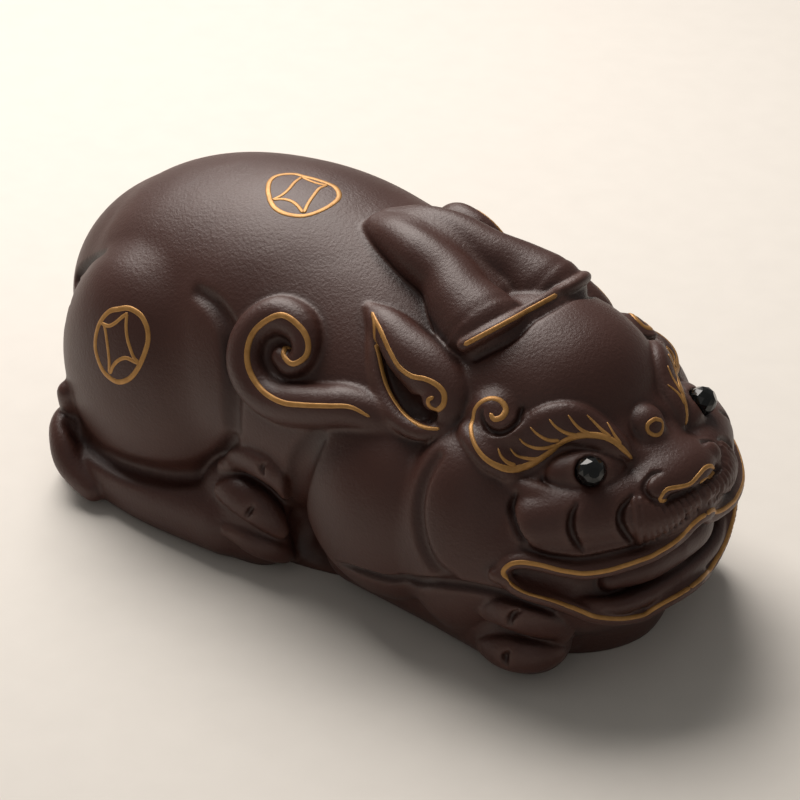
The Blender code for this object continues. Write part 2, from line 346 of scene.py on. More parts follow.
BROW_STROKES = [[(498, 448), (501, 456), (507, 462), (516, 466)],
                [(510, 448), (516, 455), (525, 458), (536, 459), (545, 456)],
                [(519, 438), (525, 444), (535, 448), (547, 448), (558, 445)],
                [(530, 427), (537, 434), (548, 440), (560, 441)],
                [(549, 419), (556, 427), (566, 433), (578, 436)],
                [(568, 415), (575, 424), (583, 431), (592, 435)],
                [(587, 415), (595, 423), (603, 431), (611, 438)],
                [(607, 422), (614, 434), (621, 445)]]
BROW_CURL = [(522, 409), (519, 420), (508, 430), (497, 433), (486, 428), (481, 418), (482, 410)]
BALL_RING = [(655, 419), (662, 421), (663, 428), (660, 434), (654, 435), (648, 431), (648, 424),
             (655, 419), (660, 420)]
NOSE_LINE = [(667, 500), (660, 500), (663, 494), (668, 489), (679, 487), (690, 484), (698, 476),
             (705, 468), (711, 466), (713, 472), (706, 479), (700, 483)]
NOSE_WING = [(661, 472), (653, 473), (645, 481), (644, 490), (650, 498), (659, 501)]
UPPER_LIP_LINE = [(503, 572), (507, 566), (515, 562), (528, 563), (540, 565), (563, 571), (585, 574),
                  (607, 571), (630, 564), (652, 556), (674, 543), (688, 530), (695, 521), (700, 518),
                  (708, 519), (720, 515)]
LOWER_LIP_LINE = [(503, 572), (509, 581), (518, 589), (529, 594), (552, 600), (574, 608), (596, 617),
                  (619, 619), (641, 616), (663, 603), (683, 592), (700, 580), (712, 571)]
CHEEK_FOLDS = [[(516, 493), (511, 506), (512, 521), (520, 538), (531, 549)],
               [(577, 504), (572, 515), (571, 530), (576, 543), (583, 551)],
               [(633, 496), (623, 508), (621, 523), (628, 538), (638, 547)]]
MUZZLE_EDGE = [(523, 547), (540, 555), (560, 559), (585, 560), (612, 555), (638, 547), (660, 537),
               (680, 523), (692, 512), (699, 507)]
NOSE_UNDERSIDE = [(665, 506), (672, 498), (682, 495), (692, 492), (701, 487)]
TAIL_CREASE = [(104, 252), (90, 262), (76, 279), (67, 299), (63, 320)]
HAUNCH_FRONT = [(198, 292), (210, 301), (220, 314), (228, 332), (231, 360), (232, 395), (232, 425)]
HAUNCH_UNDERSIDE = [(70, 425), (88, 445), (112, 461), (150, 473), (188, 476), (214, 465), (232, 440)]
SHOULDER_FRONT = [(436, 458), (423, 480), (417, 508), (420, 538), (432, 564), (450, 578)]
SHOULDER_REAR = [(318, 436), (303, 462), (300, 500), (306, 540), (322, 562)]
FOREARM_TOP = [(337, 563), (352, 569), (372, 576), (400, 580), (430, 583), (458, 586), (480, 590),
               (503, 595), (528, 602), (552, 611)]
HIND_TOES = [[(224, 464), (244, 459), (264, 466), (282, 481), (292, 500)],
             [(222, 490), (240, 495), (262, 509), (282, 529)],
             [(228, 531), (250, 541), (275, 551), (294, 556)]]
HIND_NOTCHES = [[(266, 463), (261, 468), (263, 475)], [(254, 506), (249, 512), (246, 518)]]
FRONT_TOES = [[(490, 612), (512, 612), (538, 620), (562, 632)],
              [(484, 646), (505, 652), (530, 656), (556, 654)]]
FRONT_NOTCHES = [[(520, 611), (512, 616), (509, 625)], [(508, 652), (504, 658), (506, 665)]]
HAIR_ROOTS = [(634, 500), (641, 499), (650, 506), (659, 508), (669, 507), (678, 503), (686, 498),
              (694, 492)]
HAIR_TIPS = [(640, 543), (650, 541), (661, 534), (670, 529), (681, 522), (688, 519), (694, 514),
             (699, 508)]
COIN_RIM = [(119, 309), (110, 311), (102, 319), (97, 330), (95, 346), (98, 360), (103, 371), (110, 378),
            (118, 382), (127, 380), (134, 374), (140, 364), (145, 352), (148, 340), (147, 328),
            (142, 317), (135, 311), (127, 308), (119, 309), (115, 310)]
COIN_STROKES = [[(101, 323), (108, 326), (115, 323), (122, 317), (128, 313)],
                [(104, 324), (106, 335), (108, 350), (109, 362), (109, 373)],
                [(127, 313), (126, 325), (127, 337), (130, 348), (134, 358), (139, 363)],
                [(110, 374), (113, 366), (119, 360), (126, 358), (133, 361), (139, 364)]]
BACK_COIN_RIM = [(270, 200), (268, 190), (270, 181), (276, 176), (285, 174), (295, 174), (303, 176),
                 (315, 179), (327, 183), (335, 187), (339, 193), (338, 199), (331, 205), (322, 210),
                 (312, 214), (302, 216), (291, 215), (281, 212), (274, 207), (270, 200), (269, 196)]
BACK_COIN_STROKES = [[(272, 200), (282, 195), (289, 189), (295, 182), (302, 177)],
                     [(302, 177), (311, 181), (320, 184), (328, 185)],
                     [(273, 200), (282, 199), (291, 201), (298, 206), (303, 213)],
                     [(304, 213), (308, 204), (314, 195), (320, 188), (328, 185)]]


# Forms of the beast, in millimetres: X forward, Y to its left, Z up

def body(clay):
    """Trunk, belly, chest, haunch and shoulder."""
    clay.add(egg((-19, 0, 26.5), (40.5, 27, 26.5)), 1)
    clay.add(egg((8, 0, 24), (32, 26, 23.5)), 8)
    clay.add(egg((-16, 0, 3), (38, 23, 14)), 4)
    clay.add(egg((22, 0, 3), (28, 19, 12)), 4)
    clay.add(egg((-32, 0, 26.5), (29, 25, 22.8)), 3)
    clay.add(egg((-33.2, 15.5, 20), (21.3, 15, 23), (-6, 0, 0)), 1.5)
    clay.add(egg((15.5, 18.4, 18.8), (15.5, 11.3, 15.7)), 1.2)


def head(clay):
    """Head, jowl and the domed forehead."""
    clay.add(egg((34.5, 0, 19.5), (24, 26.5, 19)), 4)
    clay.add(egg((30.5, 18, 20), (11.3, 10.5, 17)), 1.5)
    clay.add(egg((39.5, 0, 32), (11.5, 15.5, 8.5)), 2)
    clay.add(egg((31.5, 0, 36.4), (15.2, 15.8, 12.6), (0, 10, 0)), 1.2)
    clay.add(egg((26, 0, 36), (13, 17, 12.6)), 3)


def limbs(clay):
    """The tail's end, the lower hind leg and the forearm, with the paws they end in."""
    clay.add(egg((-49, 0, 25.5), (14.5, 19, 17.2)), 1.5)
    clay.add(roll([(-56, 0, 18), (-54, 0, 7)], [8.5, 8]), 1.5)
    clay.add(roll([(-46, 23.5, 5), (-30, 25, 5), (-14, 24, 6)], [6, 6, 6.5]), 2)
    clay.add(egg((-12, 21, 8), (9, 7, 9)), 1.0)
    clay.add(roll([(8, 16.5, 6.5), (22, 16, 6), (35, 16.5, 6.5)], [6.4, 6.4, 6.8]), 0.8)
    clay.add(egg((36.5, 14.5, 6), (8, 8, 6.2)), 1)


def rear(clay):
    """The heel, and the creases round the haunch and beside the tail."""
    clay.add(clay.strand([(-47, 26, 16), (-48.5, 25.8, 10.5), (-44.5, 27.5, 6), (-38.5, 29, 3.5)],
                         [2, 2.6, 2.8, 2.2], [2.2, 2.6, 2.8, 2.2]), 0.8)
    clay.groove(clay.seen(HAUNCH_FRONT),
                [0.6, 1.2, 1.8, 2.2, 2.4, 2.4, 2.0], [0.3, 1.0, 1.3, 1.4, 1.4, 1.2, 0.7], 2.0)
    clay.groove(clay.seen(HAUNCH_UNDERSIDE),
                [0.8, 1.6, 2.2, 2.5, 2.5, 2.2, 1.4], [0.5, 1.1, 1.5, 1.7, 1.7, 1.5, 0.8], 2.0)
    clay.groove(clay.seen(TAIL_CREASE), [0.8, 1.6, 2.0, 2.0, 1.4], [0.4, 1.0, 1.3, 1.2, 0.6], 0.7)


def add_toe(clay, line, thick):
    """A toe along a line seen in the photograph, thickest in its middle."""
    spots = clay.seen(line)
    swell = thick * np.sin(np.linspace(0.5, 2.6, len(spots)))
    clay.add(clay.strand(spots, swell, 0.7 * swell), 0.5)


def hind_paw(clay):
    """Three toes under the scroll, two with a claw's notch."""
    clay.add(egg((-10.5, 22.5, 8), (9.5, 6.0, 9.5)), 1.2)
    for toe, thick in zip(HIND_TOES, (2.6, 3.0, 2.2)):
        add_toe(clay, toe, thick)
    for notch in HIND_NOTCHES:
        clay.groove(clay.seen(notch), [0.5, 1.0, 0.5], [0.3, 0.9, 0.3], 0.2)


def front_paw(clay):
    """Two toes below the corner of the mouth, each with a claw's notch."""
    clay.add(egg((39.5, 17.5, 6.6), (8.6, 6.2, 7.0)), 0.8)
    clay.add(egg((40, 10, 4.4), (6, 6, 4.4)), 0.8)
    for toe, thick in zip(FRONT_TOES, (3.5, 3.0)):
        add_toe(clay, toe, thick)
    for notch in FRONT_NOTCHES:
        clay.groove(clay.seen(notch), [0.6, 1.2, 0.6], [0.4, 1.2, 0.4], 0.2)


def shoulder_creases(clay):
    """The creases above the forearm, behind the shoulder and between shoulder and jowl."""
    lines = [(FOREARM_TOP, [0.3, 0.7] + [0.9] * 7 + [0.5], [0.4, 1.0] + [1.2] * 7 + [0.5], 0.6),
             (SHOULDER_REAR, [1.0, 2.0, 2.2, 2.0, 1.0], [0.5, 1.4, 1.6, 1.4, 0.5], 1.6),
             (SHOULDER_FRONT, [0.5, 0.8, 0.9, 0.9, 0.8, 0.5], [0.4, 0.8, 1.0, 1.0, 0.8, 0.4], 1.6)]
    creases = [(clay.strand(clay.seen(line), half_widths, depths), soft)
               for line, half_widths, depths, soft in lines]
    for crease, soft in creases:
        clay.cut(crease, soft)


def flank_scroll(clay):
    """A roll of clay that runs back from the jaw and curls up on the flank."""
    clay.add(roll([(18, 19.8, 34.0), (11, 22.8, 35.0), (7.3, 24.2, 34.3), (3, 25, 33.1),
                   (-0.8, 25.5, 32.3), (-4.7, 25.5, 32.8), (-7.9, 25, 35), (-9.2, 23.7, 37.9),
                   (-8.7, 22, 40.6), (-5.9, 20.3, 42.9), (-2.1, 20, 42.8), (0.3, 20.9, 41.3),
                   (1, 22.3, 39.3), (-0.6, 23.2, 37.8), (-2.6, 23.2, 38.4)],
                  [2.6, 3.1, 3.2, 3.3, 3.2, 3.2, 3.2, 3.1, 3, 3, 2.8, 2.4, 2.1, 1.9, 1.6]), 0.9)


def horn(clay):
    """Two horns swept back over the neck, the fillet between them, and the collar before them."""
    clay.add(roll([(-3.0, 1.4, 51.0), (2.0, 2.6, 51.6), (7.5, 3.8, 51.2), (13.5, 4.6, 49.8),
                   (18, 6.2, 47.8), (22.5, 7.0, 45.6)],
                  [2.4, 3.4, 4.0, 4.3, 5.2, 6.5]), 0.8)
    clay.add(roll([(-2.5, 0, 51.2), (3, 0, 51.8), (9, 0, 51.0), (14.5, 0, 48.9), (19, 0, 47.2)],
                  [2.3, 3.0, 3.0, 2.6, 2.4]), 1.2)
    collar = clay.seen(between(COLLAR_OUTER, COLLAR_INNER, 9))
    clay.ridge(collar, 2.0, 1.2, 0.4)
    clay.groove(collar + (2.0, 0.2, -1.4), 1.0, 0.5, 0.4)


def ear(clay):
    """A leaf-shaped ear: its back, its hollow, its lower rim and the knob at its root."""
    clay.add(roll([(6.0, 13.4, 45.8), (10.5, 14.2, 44.6), (15.5, 15.0, 42.6), (20.5, 15.2, 40.8),
                   (24.4, 15.6, 38.6), (25.6, 17.2, 36.4)],
                  [0.8, 2.8, 4.0, 4.5, 4.2, 2.8]), 0.7)
    clay.cut(clay.strand([(9.8, 16.4, 43.8), (13.0, 18.6, 40.8), (16.5, 20.0, 38.4), (20.5, 20.6, 37.4),
                          (23.4, 20.0, 37.8)],
                         [0.6, 1.7, 2.4, 2.3, 1.5], [0.5, 1.2, 1.6, 1.6, 1.2]), 0.4)
    clay.add(roll([(7.8, 14.8, 45.6), (10.8, 17.6, 41.8), (14.3, 19.8, 37.6), (18.8, 21.2, 35.3),
                   (23.2, 21.0, 34.9), (26.0, 19.8, 35.8)],
                  [0.7, 1.1, 1.4, 1.5, 1.4, 0.9]), 0.6)
    clay.add(egg((23.4, 18.4, 39.4), (1.9, 1.9, 1.9)), 0.3)


def brow(clay):
    """The raised brow plate with its curl, and the ball between the brows."""
    clay.cut(egg((53.5, 0, 38.4), (7.0, 6.4, 5.2)), 1.0)
    clay.add(clay.strand([(29.8, 17.0, 38.6), (31.2, 18.6, 36.6), (35.2, 19.2, 35.2), (38.5, 17.2, 37.0),
                          (41.6, 14.8, 39.8), (44.6, 12.1, 40.8), (47.3, 9.5, 40), (49.3, 7.8, 37.8),
                          (50.4, 6.8, 35.8)],
                         [1.6, 2.4, 3.0, 3.3, 3.4, 3.2, 2.7, 1.9, 0.8],
                         [1.2, 1.5, 1.8, 2.0, 2.0, 2.0, 1.8, 1.5, 1.0]), 0.5)
    clay.add(egg((32.0, 15.0, 39.0), (3.6, 3.3, 3.4)), 1.4)
    clay.add(egg((34.6, 16.0, 37.6), (3.4, 3.0, 2.8)), 1.6)
    clay.groove(clay.seen(BROW_CURL),
                [0.7, 1.0, 1.1, 1.1, 1.0, 0.8, 0.5], [0.6, 1.0, 1.1, 1.1, 1.0, 0.7, 0.3], 0.2)
    clay.add(egg((47.1, 0, 36.2), (3.3, 3.3, 3.3)), 0.3)


def eye(clay):
    """The eye's hollow, the ball of the eye and the fold below it."""
    clay.cut(clay.strand([(43.0, 17.0, 33.4), (45, 15.2, 34.0), (47.4, 12.6, 34.6), (49.4, 10, 34.6),
                          (50.8, 7.9, 34.2)],
                         [0.8, 2.4, 3.2, 2.4, 0.7], [0.6, 1.3, 1.5, 1.3, 0.5]), 0.4)
    clay.add(egg((45.9, 11.4, 33.2), (3.4, 6.0, 3.4), (0, 0, 38)), 0.4)
    clay.ridge([(38.5, 20.2, 33.2), (42.6, 18.5, 31.8), (46.6, 16.5, 30.6), (49.6, 13.0, 30.6),
                (51.2, 9.4, 31.4), (52, 6.8, 32.8)],
               [1.4, 2.8, 3.2, 3.2, 2.8, 1.6], [0.4, 0.9, 1.2, 1.2, 1.1, 0.6], 0.8)


def muzzle(clay):
    """The cheeks' lobes, the nose and the moustache."""
    clay.add(roll([(43.0, 18.4, 26.8), (46.0, 15.0, 27.4), (49.0, 11.0, 27.6), (51.0, 6.5, 28.0),
                   (51.6, 0, 28.2)],
                  [4.8, 5.4, 5.4, 5.3, 5.2]), 0.5)
    clay.add(egg((50.4, 0, 27.6), (8.4, 14.6, 6.0), (0, 10, 0)), 0.5)
    for fold in CHEEK_FOLDS:
        clay.groove(clay.seen(fold), [0.6, 1.2, 1.4, 1.2, 0.6], [0.4, 1.1, 1.3, 1.1, 0.4], 0.3)
    clay.groove(clay.seen(MUZZLE_EDGE), 1.3, [0.4, 0.8, 0.9, 0.9, 0.9, 0.9, 0.8, 0.8, 0.7, 0.6], 0.3)
    clay.add(egg((49, 0, 32.8), (5.4, 6, 3)), 1.5)
    clay.add(egg((53.0, 0, 31.6), (5.2, 7.6, 3.3), (0, 12, 0)), 0.5)
    clay.add(egg((53.8, 6.2, 30.9), (2.6, 2.6, 2.6)), 0.6)
    clay.groove(clay.seen(NOSE_WING), [0.5, 0.8, 0.9, 0.9, 0.8, 0.6], [0.3, 0.6, 0.7, 0.7, 0.6, 0.3], 0.2)
    clay.groove(clay.seen(NOSE_UNDERSIDE), [0.6, 1.2, 1.4, 1.4, 1.2], [0.3, 0.7, 0.9, 0.9, 0.7], 0.3)
    shares = np.linspace(0, 1, HAIRS)
    roots, tips = (along(np.array(ends, float), shares) for ends in (HAIR_ROOTS, HAIR_TIPS))
    hairs = [clay.strand(clay.seen(between(root, tip, 4)), [0.45, 0.62, 0.6, 0.35], [0.5, 0.7, 0.7, 0.4])
             for root, tip in zip(roots, tips)]
    for hair in hairs:
        clay.add(hair, 0.12)


def lip_lines(clay):
    """The upper and the lower lip's line, from the corner of the mouth to the beast's middle."""
    lines = []
    for pixels in (UPPER_LIP_LINE, LOWER_LIP_LINE):
        spots = clay.seen(along(np.array(pixels, float), np.linspace(0, 1, LIP_POINTS)))
        spots = spots[spots[:, 1] > LIP_EDGE]
        lines.append(np.vstack([spots, spots[-1] * (1, 0, 1)]))
    return lines


def mouth(clay):
    """Two lips with rolled edges, the hollow between them, and the tongue and lower gum in it."""
    toward = view_axes()[0] * (1, -1, 1)
    lines = lip_lines(clay)
    for line in lines:
        clay.ridge(line, 2.4, 0.9, 0.5)
    upper, lower = (along(line, np.linspace(0.04, 1, MOUTH_POINTS)) for line in lines)
    half_gap = np.linalg.norm(upper - lower, axis=1) / 2 - LIP_EDGE
    clay.cut(clay.strand((upper + lower) / 2, half_gap, np.minimum(half_gap + 0.6, 5)), 0.25)
    clay.add(roll([(50.6, 11.0, 17.0), (52.6, 6.0, 17.8), (53.2, 0, 18.2)], [2.0, 2.8, 3.0]), 0.3)
    clay.add(roll([(49.5, 17.5, 15.0), (52.4, 12, 13.4), (53.8, 5.5, 13.0), (54.2, 0, 13.2)],
                  [0.9, 1.5, 1.7, 1.7]), 0.4)
    for line in lines:
        clay.add(roll(line - toward * LIP_SINK, LIP_ROLL), 0.4)


def socket(clay):
    """The hole that each bead sits in, with the glue's thickness round it."""
    room = BEAD_RADIUS / MM + GLUE
    clay.cut(egg(EYE, (room, room, room)), 0.15)


def model_beast():
    """The whole beast, form after form."""
    clay = Lump(CLAY_LOW, CLAY_HIGH, CLAY_STEP)
    for form in (body, head, limbs, rear, hind_paw, front_paw, shoulder_creases, flank_scroll, horn,
                 ear, brow, eye, muzzle, mouth, socket):
        form(clay)
    clay.trim_underside()
    return clay


# Making meshes

def placed(points):
    """Drawn millimetres to metres in the frame."""
    return (np.asarray(points) + SHIFT) * MM


def piece(name, points, faces, material, smooth=True):
    """One mesh piece that rides on the root."""
    mesh = bpy.data.meshes.new(name)
    mesh.from_pydata(placed(points).tolist(), [], [list(map(int, f)) for f in faces])
    mesh.update()
    if smooth:
        mesh.shade_smooth()
    made = bpy.data.objects.new(name, mesh)
    bpy.context.scene.collection.objects.link(made)
    mesh.materials.append(material)
    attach(made, "root")
    return made


def apply_modifiers(thing):
    """Keep the mesh that the modifiers make, without them."""
    bpy.context.view_layer.update()
    baked = bpy.data.meshes.new_from_object(thing.evaluated_get(bpy.context.evaluated_depsgraph_get()))
    thing.modifiers.clear()
    thing.data = baked


def note_hollows(clay, mesh):
    """Store crease depth (hollow, for painted shade) and how proud each point stands (for wear and
    painted sheen), 0 to 1.
    """
    count = len(mesh.vertices)
    places = np.empty(count * 3)
    mesh.vertices.foreach_get("co", places)
    places = places.reshape(-1, 3) / MM - SHIFT
    away = clay.outward(places) * CREASE_REACH
    hollow = 1 - clay.value(places + away) / CREASE_REACH
    wear_and_sheen = 1 + clay.value(places - away) / CREASE_REACH
    for name, amount in (("hollow", hollow), ("wear_and_sheen", wear_and_sheen)):
        layer = mesh.attributes.new(name, "FLOAT", "POINT")
        layer.data.foreach_set("value", np.clip(amount, 0, 1).astype(np.float32))


def beast_mesh(clay, material):
    """The lump as one mesh: mirrored, evened out and thinned where it is smooth."""
    points, quads = clay.skin()
    made = piece("clay_beast_figure", points, quads, material)
    mirror = made.modifiers.new("mirror", "MIRROR")
    mirror.use_axis = (False, True, False)
    mirror.merge_threshold = CLAY_STEP * 0.2 * MM
    mirror.use_mirror_merge = True
    soften = made.modifiers.new("soften", "SMOOTH")
    soften.factor = 0.5
    soften.iterations = 1
    thin = made.modifiers.new("thin", "DECIMATE")
    thin.ratio = min(1.0, CLAY_TRIANGLES / (4 * len(quads)))
    thin.use_symmetry = True
    thin.symmetry_axis = "Y"
    apply_modifiers(made)
    made.data.shade_smooth()
    note_hollows(clay, made.data)
    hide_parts("clay_beast")
    return made


# Materials

def linear(hex_colour):
    """sRGB hex to the linear colour that shaders work in."""
    parts = [int(hex_colour[i:i + 2], 16) / 255 for i in (1, 3, 5)]
    return tuple(c / 12.92 if c <= 0.04045 else ((c + 0.055) / 1.055) ** 2.4 for c in parts) + (1.0,)


def new_material(name):
    """A material, its nodes and its shader."""
    made = bpy.data.materials.new(name)
    made.use_nodes = True
    return made, made.node_tree, made.node_tree.nodes["Principled BSDF"]


def node(tree, kind, inputs=(), **settings):
    """Add a node: its settings, and for each named input a value or another node's output."""
    made = tree.nodes.new(kind)
    for key, value in settings.items():
        setattr(made, key, value)
    for key, value in dict(inputs).items():
        if isinstance(value, bpy.types.NodeSocket):
            tree.links.new(value, made.inputs[key])
        else:
            made.inputs[key].default_value = value
    return made


def fired_purple_clay():
    # Purple stoneware clay, pressed, scraped smooth with horn tools, fired without glaze and stroked
    # with tea: the eye gets a dense red-brown body with a fine sandy grain, creases darkened as painted
    # shade, edges lighter from hand polish and painted sheen, and a soft, broad sheen over slightly
    # uneven scraping.
    made, tree, shader = new_material("fired_purple_clay")
    place = node(tree, "ShaderNodeTexCoord").outputs["Object"]
    # The body's colour changes in clouds 14 mm across, as the clay was wedged.
    clouds = node(tree, "ShaderNodeTexNoise", {"Vector": place, "Scale": 1 / (14 * MM), "Detail": 4.0})
    fired = node(tree, "ShaderNodeMixRGB", {"Fac": clouds.outputs["Fac"], "Color1": linear("#3a1f19"),
                                            "Color2": linear("#4b2c24")})
    # Creases (hollow) are darkened towards #1d100d: painted shade.
    hollow = node(tree, "ShaderNodeAttribute", attribute_name="hollow").outputs["Fac"]
    wear_and_sheen = node(tree, "ShaderNodeAttribute", attribute_name="wear_and_sheen").outputs["Fac"]
    painted_crease_shade = node(tree, "ShaderNodeMapRange", {"Value": hollow, "From Min": 0.08, "From Max": 0.7,
                                              "To Max": 0.6})
    dark = node(tree, "ShaderNodeMixRGB", {"Fac": painted_crease_shade.outputs["Result"],
                                           "Color1": fired.outputs["Color"],
                                           "Color2": linear("#1d100d")})
    # Proud edges are lightened towards #5c3f36: partly wear from hands, partly painted sheen.
    rubbed_and_sheen = node(tree, "ShaderNodeMapRange", {"Value": wear_and_sheen, "From Min": 0.1, "From Max": 0.7,
                                               "To Max": 0.5})
    tone = node(tree, "ShaderNodeMixRGB", {"Fac": rubbed_and_sheen.outputs["Result"],
                                           "Color1": dark.outputs["Color"],
                                           "Color2": linear("#5c3f36")})
    tree.links.new(tone.outputs["Color"], shader.inputs["Base Color"])
    # The scraper's strokes are about 7 mm wide and 0.3 mm deep.
    scraping = node(tree, "ShaderNodeTexNoise", {"Vector": place, "Scale": 1 / (7 * MM), "Detail": 1.0})
    wide = node(tree, "ShaderNodeBump", {"Height": scraping.outputs["Fac"], "Strength": 0.5,
                                         "Distance": 0.3 * MM})
    # Grains are 0.2 mm in the clay; drawn at 0.5 mm so that they show at this size.
    grain = node(tree, "ShaderNodeTexNoise", {"Vector": place, "Scale": 1 / (0.5 * MM), "Detail": 3.0,
                                              "Roughness": 0.6})
    fine = node(tree, "ShaderNodeBump", {"Height": grain.outputs["Fac"], "Strength": 0.55,
                                         "Distance": 0.15 * MM, "Normal": wide.outputs["Normal"]})
    tree.links.new(fine.outputs["Normal"], shader.inputs["Normal"])
    sheen = node(tree, "ShaderNodeMapRange", {"Value": clouds.outputs["Fac"], "To Min": 0.40,
                                              "To Max": 0.50})
    tree.links.new(sheen.outputs["Result"], shader.inputs["Roughness"])
    shader.inputs["IOR"].default_value = 1.5
    shader.inputs["Specular IOR Level"].default_value = 0.42
    return made


def brushed_gold_paint():
    # Bronze powder in lacquer, laid on with a fine brush: an ochre gold, thinner and browner in
    # patches, with a dull metal glow and hardly any highlight.
    made, tree, shader = new_material("brushed_gold_paint")
    place = node(tree, "ShaderNodeTexCoord").outputs["Object"]
    # The brush leaves more or less paint over about 1.2 mm.
    load = node(tree, "ShaderNodeTexNoise", {"Vector": place, "Scale": 1 / (1.2 * MM), "Detail": 3.0})
    paint = node(tree, "ShaderNodeMixRGB", {"Fac": load.outputs["Fac"], "Color1": linear("#96682f"),
                                            "Color2": linear("#cb9a5a")})
    tree.links.new(paint.outputs["Color"], shader.inputs["Base Color"])
    # The powder's flakes are below 0.05 mm; drawn at 0.25 mm so that they show.
    powder = node(tree, "ShaderNodeTexNoise", {"Vector": place, "Scale": 1 / (0.25 * MM), "Detail": 2.0})
    bump = node(tree, "ShaderNodeBump", {"Height": powder.outputs["Fac"], "Strength": 0.4,
                                         "Distance": 0.05 * MM})
    tree.links.new(bump.outputs["Normal"], shader.inputs["Normal"])
    shader.inputs["Metallic"].default_value = 0.4
    shader.inputs["Roughness"].default_value = 0.48
    return made


def faceted_black_glass():
    # Black glass bead, ground to flat facets and polished: nearly no colour of its own, sharp
    # reflections that change from facet to facet, a trace of wear.
    made, tree, shader = new_material("faceted_black_glass")
    place = node(tree, "ShaderNodeTexCoord").outputs["Object"]
    # Fingers have dulled it in patches of about 0.8 mm.
    wear = node(tree, "ShaderNodeTexNoise", {"Vector": place, "Scale": 1 / (0.8 * MM), "Detail": 4.0})
    tint = node(tree, "ShaderNodeMixRGB", {"Fac": wear.outputs["Fac"], "Color1": linear("#070808"),
                                           "Color2": linear("#131617")})
    tree.links.new(tint.outputs["Color"], shader.inputs["Base Color"])
    polish = node(tree, "ShaderNodeMapRange", {"Value": wear.outputs["Fac"], "To Min": 0.03,
                                               "To Max": 0.10})
    tree.links.new(polish.outputs["Result"], shader.inputs["Roughness"])
    shader.inputs["IOR"].default_value = 1.52
    return made


def matt_white_board():
    # A board painted a matt warm white with a roller: even, with a trace of the roller's nap, whose
    # tufts are about 6 mm wide.
    made, tree, shader = new_material("matt_white_board")
    place = node(tree, "ShaderNodeTexCoord").outputs["Object"]
    roller = node(tree, "ShaderNodeTexNoise", {"Vector": place, "Scale": 1 / (6 * MM), "Detail": 3.0})
    white = node(tree, "ShaderNodeMixRGB", {"Fac": roller.outputs["Fac"], "Color1": linear("#ddd9d2"),
                                            "Color2": linear("#e3dfd8")})
    tree.links.new(white.outputs["Color"], shader.inputs["Base Color"])
    shader.inputs["Roughness"].default_value = 0.8
    return made


# Eyes

BEAD_RINGS = (22, 45, 68, 90, 112, 135, 158)  # degrees from the way the bead looks
BEAD_FACETS = 10             # round each ring
BEAD_LOOK = np.array([0.72, 0.55, 0.42])      # the way the left bead looks


def eye_bead(side, name, material):
    """A cut glass bead: rings of flat facets round the axis that it looks along."""
    centre = np.array(EYE) * (1, side, 1)
    out = unit(BEAD_LOOK * (1, side, 1))
    across = unit(np.cross(out, (0, 0, 1)))
    up = np.cross(across, out)
    radius = BEAD_RADIUS / MM
    points, faces = [], []
    for k, tilt in enumerate(np.radians(BEAD_RINGS)):
        for j in range(BEAD_FACETS):
            a = 2 * np.pi * (j + 0.5 * (k % 2)) / BEAD_FACETS
            way = out * np.cos(tilt) + (across * np.cos(a) + up * np.sin(a)) * np.sin(tilt)
            points.append(centre + way * radius)
    for k in range(len(BEAD_RINGS) - 1):
        for j in range(BEAD_FACETS):
            a, b = k * BEAD_FACETS + j, k * BEAD_FACETS + (j + 1) % BEAD_FACETS
            c, d = a + BEAD_FACETS, b + BEAD_FACETS
            if k % 2:
                faces += [(a, b, d), (a, d, c)]
            else:
                faces += [(a, b, c), (b, d, c)]
    faces.append(tuple(range(BEAD_FACETS))[::-1])
    faces.append(tuple(range(len(points) - BEAD_FACETS, len(points))))
    made = piece(name + "_cut_glass", points, faces, material, smooth=False)
    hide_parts(name)
    return made


# Gold lines

GOLD_RISE = 0.10             # mm that the paint stands proud
GOLD_SINK = 0.25             # mm that its underside lies in the clay
GOLD_GAP = 0.35              # mm between the rows of a painted line
GOLD_ACROSS = np.array([-1, -0.62, 0, 0.62, 1])    # places across a line, in half widths
GOLD_CROWN = np.array([0.0, 0.8, 1.0, 0.8, 0.0])   # how much of the rise the paint has there
NEAR_SIDE = (-1,)            # the side of the beast that the photograph shows
BOTH_SIDES = (1, -1)


def tape(clay, points, widths):
    """A painted line on the clay: (points, faces) of a thin closed strip with rounded ends."""
    rows = smooth_line(np.column_stack([points, np.broadcast_to(widths, len(points))]), GOLD_GAP)
    spots = clay.settle(rows[:, :3])
    ways = np.gradient(spots, axis=0)
    ways /= np.maximum(np.linalg.norm(ways, axis=1, keepdims=True), 1e-9)
    faces_out = clay.outward(spots)
    sides = np.cross(ways, faces_out)
    sides /= np.maximum(np.linalg.norm(sides, axis=1, keepdims=True), 1e-9)
    run = np.concatenate([[0], np.cumsum(np.linalg.norm(np.diff(spots, axis=0), axis=1))])
    ends = np.minimum(run, run[-1] - run) / np.maximum(rows[:, 3] / 2, 0.05)
    half = rows[:, 3] / 2 * np.sqrt(np.clip(1 - (1 - np.clip(ends, 0.02, 1)) ** 2, 0.02, 1))
    top = [clay.settle(spots + sides * (half * s)[:, None]) for s in GOLD_ACROSS]
    out = [clay.outward(t) for t in top]
    crown = [t + o * lift for t, o, lift in zip(top, out, GOLD_RISE * GOLD_CROWN)]
    bed = [t - o * GOLD_SINK for t, o in zip(top[::-1], out[::-1])]
    ring = np.stack(crown + bed, 1)
    count, round_count = ring.shape[:2]
    faces = []
    for i in range(count - 1):
        for j in range(round_count):
            a, b = i * round_count + j, i * round_count + (j + 1) % round_count
            faces.append((a, b, b + round_count, a + round_count))
    faces.append(tuple(range(round_count))[::-1])
    faces.append(tuple((count - 1) * round_count + j for j in range(round_count)))
    return ring.reshape(-1, 3), faces


